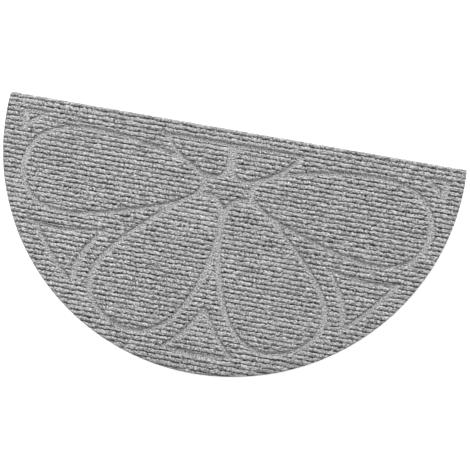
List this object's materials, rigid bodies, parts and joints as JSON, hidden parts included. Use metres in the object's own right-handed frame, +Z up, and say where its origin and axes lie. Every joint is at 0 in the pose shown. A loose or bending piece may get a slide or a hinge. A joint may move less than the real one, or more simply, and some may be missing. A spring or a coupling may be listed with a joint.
{
  "type": "half-moon doormat of ribbed felt",
  "caption": "Flat half-moon doormat of grey ribbed felt, straight along the door side and round in front, with half a flower pressed into its ribs as smooth grooves.",
  "frame": {"origin": "underside, middle of the bounding box", "axes": "+Z up out of the ribbed face, +X along the straight edge and the ribs, +Y towards the straight edge"},
  "size_m": [0.7514, 0.4, 0.008],
  "materials": {
    "felt": "coarse needle felt, grey mixed with light and dark fibres, matt"
  },
  "bodies": {
    "root": {"mat": "felt"}
  },
  "joints": []
}
